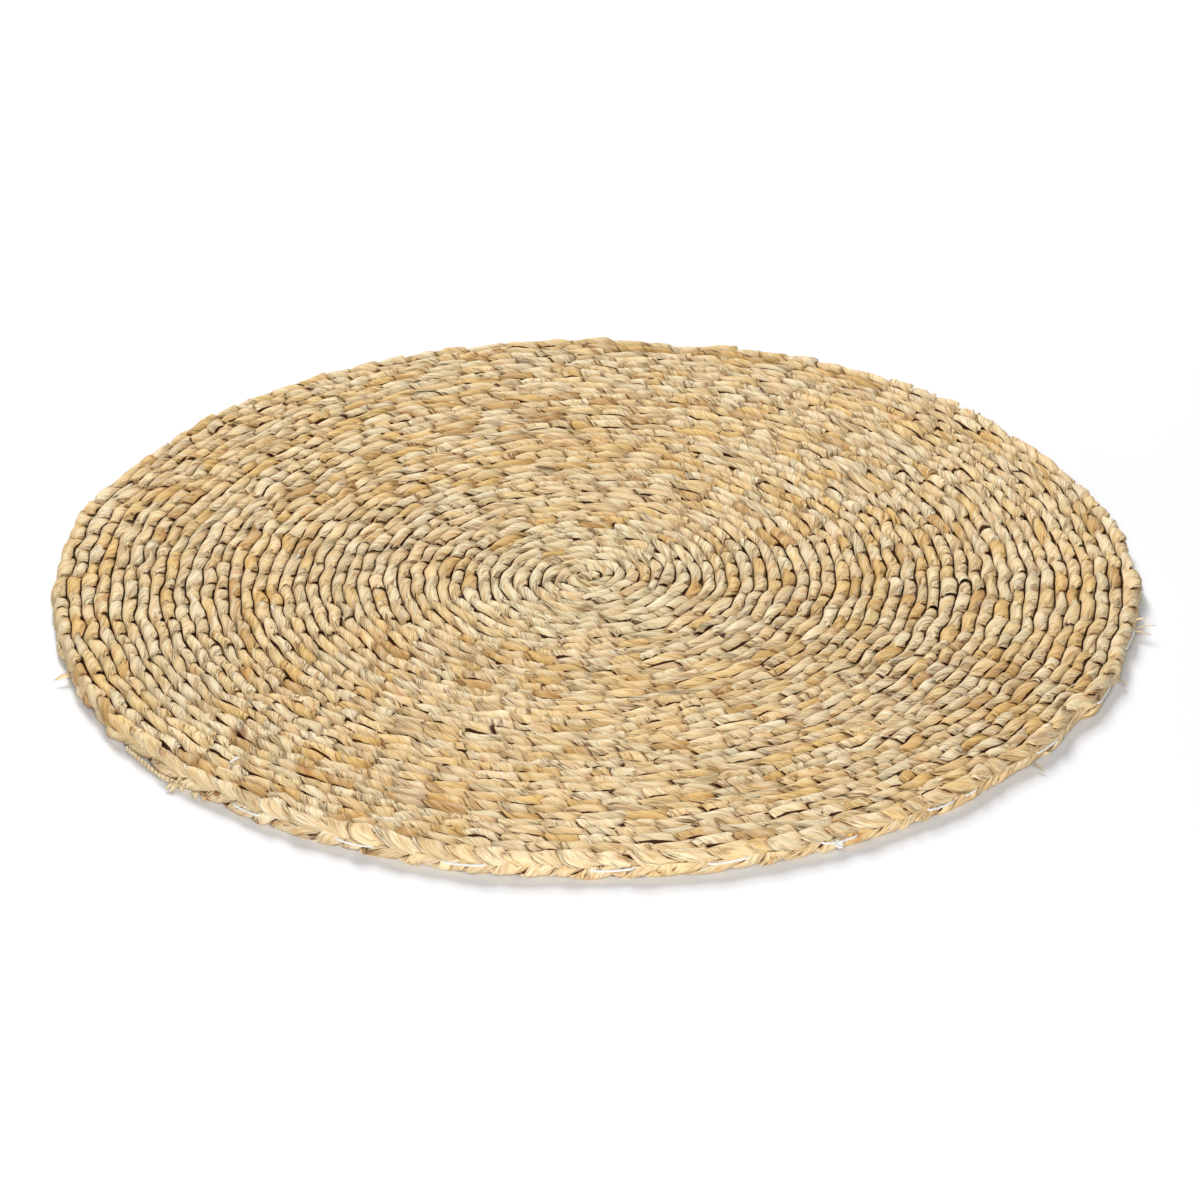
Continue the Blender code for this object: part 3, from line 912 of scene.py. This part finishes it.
def make_leaf_material():
    n = Nodes("dried leaf")
    along, across = n.uv("fibre")
    tone, light = n.uv("leaf")
    deep, side = n.uv("shade")
    from_back = n.uv("plain")[0]
    own = n.math("MULTIPLY", tone, 91.0)

    def streaks(along_scale, across_scale, detail, shift):
        """Noise drawn out along the fibres; the scales are per millimetre."""
        at = n.vector(
            n.math("MULTIPLY", along, along_scale),
            n.math("MULTIPLY", across, across_scale),
            n.math("ADD", own, shift),
        )
        return n.noise(at, detail)

    def line(noise, low, high):
        """A thin line where a noise passes its middle value."""
        return n.span(n.math("ABSOLUTE", n.math("SUBTRACT", noise, 0.5)), low, high, 1.0, 0.0)

    # Broad patches and streaks
    colour = n.ramp(tone, *((at, srgb(*value)) for at, value in LEAF_TONES))
    colour = n.over(colour, n.span(streaks(0.14, 0.26, 2.0, 20.0), 0.46, 0.62), 0.42, TAN)
    colour = n.over(colour, n.span(streaks(0.10, 0.60, 2.0, 7.3), 0.60, 0.68), 0.42, PINK)
    colour = n.over(colour, n.span(streaks(0.16, 0.26, 3.0, 33.0), 0.59, 0.70), 0.55, STAIN)
    colour = n.over(colour, n.span(streaks(0.14, 0.35, 3.0, 41.0), 0.52, 0.66), 0.36, BLEACHED)
    colour = n.over(colour, n.span(streaks(0.22, 3.2, 3.0, 3.1), 0.54, 0.62), 0.44, FIBRE_LINE)
    grey = n.add("ShaderNodeCombineColor")
    lighter = n.span(light, 0.0, 1.0, *LIGHTNESS)
    for socket in grey.inputs[:3]:
        n.link(lighter, socket)
    colour = n.mix(1.0, colour, grey.outputs[0], "MULTIPLY")

    # Folds, and finer wrinkles near a strand's edges, with painted shade in their creases
    fold = line(streaks(0.07, 0.60, 1.0, 50.0), 0.005, 0.018)
    folded_here = n.span(streaks(0.14, 0.25, 1.0, 70.0), 0.46, 0.54)
    folded_here = n.math("MULTIPLY", folded_here, n.span(from_back, 0.8, 2.4, 0.35, 1.0))
    fold = n.math("MULTIPLY", fold, folded_here)
    # painted shade: a dark line along each fold's crease
    colour = n.over(colour, fold, 0.80, FOLD_SHADE)
    wrinkle = line(streaks(0.10, 1.3, 1.0, 56.0), 0.008, 0.032)
    wrinkled_here = n.span(streaks(0.2, 0.3, 0.0, 60.0), 0.42, 0.55)
    wrinkled_here = n.math("MULTIPLY", n.span(from_back, 1.6, 3.2), wrinkled_here)
    wrinkle = n.math("MULTIPLY", wrinkle, wrinkled_here)
    # painted shade: a dark line along each wrinkle's crease
    colour = n.over(colour, wrinkle, 0.70, WRINKLE_SHADE)

    # Spots, the second of them a small hole with its shade painted, and painted shade between the turns,
    # where a strand sinks, and under the next strand
    ragged = n.math("MULTIPLY", n.math("SUBTRACT", streaks(0.5, 0.9, 2.0, 90.0), 0.5), 0.5)
    place_on_mat = n.add("ShaderNodeTexCoord").outputs["Object"]
    for x, y, z, radius, strength, spot in SPOTS:
        gap = n.add("ShaderNodeVectorMath", operation="DISTANCE")
        n.link(place_on_mat, gap.inputs[0])
        n.link((x * MM, y * MM, z * MM), gap.inputs[1])
        share = n.math("DIVIDE", gap.outputs["Value"], radius * MM)
        reach = n.math("ADD", share, n.math("MULTIPLY", ragged, 1.6))
        colour = n.mix(n.span(reach, 0.6, 1.1, strength, 0.0), colour, srgb(*spot))
    ragged_side = n.math("ADD", side, n.math("MULTIPLY", ragged, 0.2))
    ragged_deep = n.math("ADD", deep, ragged)
    # painted shade: a thin dark band down each turn's sides, where it meets the next turn
    colour = n.over(colour, n.span(ragged_side, 0.88, 0.905), 0.97, SHADE_BETWEEN_TURNS)
    # painted shade: browner where a strand starts to sink under the skin
    colour = n.over(colour, n.span(ragged_deep, 0.1, 0.6), 0.28, SHADE_WHERE_SUNK)
    # painted shade: near black where a strand lies deep under the next
    colour = n.over(colour, n.span(ragged_deep, 0.52, 0.80), 0.97, SHADE_UNDER_LEAF)
    n.link(colour, n.shader.inputs["Base Color"])
    n.shader.inputs["Roughness"].default_value = 0.55
    n.shader.inputs["Specular IOR Level"].default_value = 0.08

    # Relief
    pleats = n.math("MULTIPLY", streaks(0.12, 0.40, 2.0, 50.0), 0.8)
    ridges = n.math("MULTIPLY", streaks(0.30, 2.4, 2.0, 11.0), 0.30)
    sunk = n.math("MULTIPLY", n.math("MAXIMUM", fold, wrinkle), 0.5)
    height = n.math("SUBTRACT", n.math("ADD", pleats, ridges), sunk)
    n.link(n.bump(height, 0.8 * MM), n.shader.inputs["Normal"])
    return n.material


THREAD_TONES = ((0.3, (226, 222, 216)), (0.7, (248, 247, 244)))


def make_thread_material():
    n = Nodes("white thread")
    along, around = n.uv("fibre")
    turned = n.math("ADD", n.math("MULTIPLY", along, 2.0), around)
    lint = n.noise(n.vector(n.math("MULTIPLY", along, 0.8), n.math("MULTIPLY", turned, 3.0), 0.0), 3.0)
    colour = n.ramp(lint, *((at, srgb(*value)) for at, value in THREAD_TONES))
    n.link(colour, n.shader.inputs["Base Color"])
    n.shader.inputs["Roughness"].default_value = 0.75
    n.shader.inputs["Sheen Weight"].default_value = 0.15
    n.link(n.bump(lint, 0.15 * MM), n.shader.inputs["Normal"])
    return n.material


# The camera: the photo's, fitted to the mat's outline
PHOTO_WIDTH = 1200
CAMERA_DISTANCE = 1.8454
CAMERA_ELEVATION = math.radians(28.745)
CAMERA_FOCAL_PIXELS = 5220.9
CAMERA_YAW, CAMERA_PITCH, CAMERA_ROLL = (math.radians(a) for a in (0.067, -0.048, -0.476))
SENSOR = 36.0


def make_camera():
    data = bpy.data.cameras.new("photo_view")
    data.sensor_width = SENSOR
    data.lens = CAMERA_FOCAL_PIXELS / PHOTO_WIDTH * SENSOR
    data.clip_end = 20
    camera = bpy.data.objects.new("photo_view", data)
    bpy.context.scene.collection.objects.link(camera)
    back = Vector((0, -math.cos(CAMERA_ELEVATION), math.sin(CAMERA_ELEVATION)))
    turn = (
        Matrix.Rotation(math.pi / 2 - CAMERA_ELEVATION, 4, "X")
        @ Matrix.Rotation(-CAMERA_YAW, 4, "Y")
        @ Matrix.Rotation(CAMERA_PITCH, 4, "X")
        @ Matrix.Rotation(CAMERA_ROLL, 4, "Z")
    )
    middle = Vector((OUTLINE_MIDDLE[0], OUTLINE_MIDDLE[1], 0))
    camera.matrix_world = Matrix.Translation(back * CAMERA_DISTANCE - middle) @ turn
    bpy.context.scene.camera = camera


# The studio: sizes and places in metres, and the lamps' power in watts
FLOOR_SIZE = 8
FLOOR_COLOUR = (0.81, 0.81, 0.82, 1)
SKY_COLOUR = (0.86, 0.93, 1, 1)
SKY_STRENGTH = 0.12
LAMPS = (                       # name, place, width, depth and power
    ("key", (-0.35, 1.40, 1.60), 0.6, 1.2, 50),
    ("fill", (0.0, -1.45, 0.95), 0.6, 0.6, 20),
    ("low_fill", (0.0, -1.60, 0.20), 1.0, 0.3, 7),
)


def make_floor():
    bpy.ops.mesh.primitive_plane_add(size=FLOOR_SIZE)
    floor = bpy.context.object
    floor.name = "floor"
    n = Nodes("pale floor")
    n.shader.inputs["Base Color"].default_value = FLOOR_COLOUR
    n.shader.inputs["Roughness"].default_value = 0.8
    floor.data.materials.append(n.material)


def add_light(name, position, width, depth, power):
    data = bpy.data.lights.new(name, "AREA")
    data.shape = "RECTANGLE"
    data.size = width
    data.size_y = depth
    data.energy = power
    light = bpy.data.objects.new(name, data)
    light.location = position
    light.rotation_euler = (-Vector(position)).to_track_quat("-Z", "Y").to_euler()
    bpy.context.scene.collection.objects.link(light)


def make_lights():
    world = bpy.data.worlds.new("studio")
    bpy.context.scene.world = world
    world.use_nodes = True
    sky = world.node_tree.nodes["Background"]
    sky.inputs[0].default_value = SKY_COLOUR
    sky.inputs[1].default_value = SKY_STRENGTH
    for lamp in LAMPS:
        add_light(*lamp)
    bpy.context.scene.view_settings.view_transform = "Standard"


def main():
    make_camera()
    make_floor()
    make_lights()
    leaf = make_leaf_material()
    for number in range(STRANDS):
        spiral_strand(number, leaf)
        rim_strand(number, leaf)
    surface = strands_surface()
    thread = make_thread_material()
    add_stitches(surface, thread)
    add_top_stitches(surface, thread)
    add_loose_leaf(surface, leaf)


main()
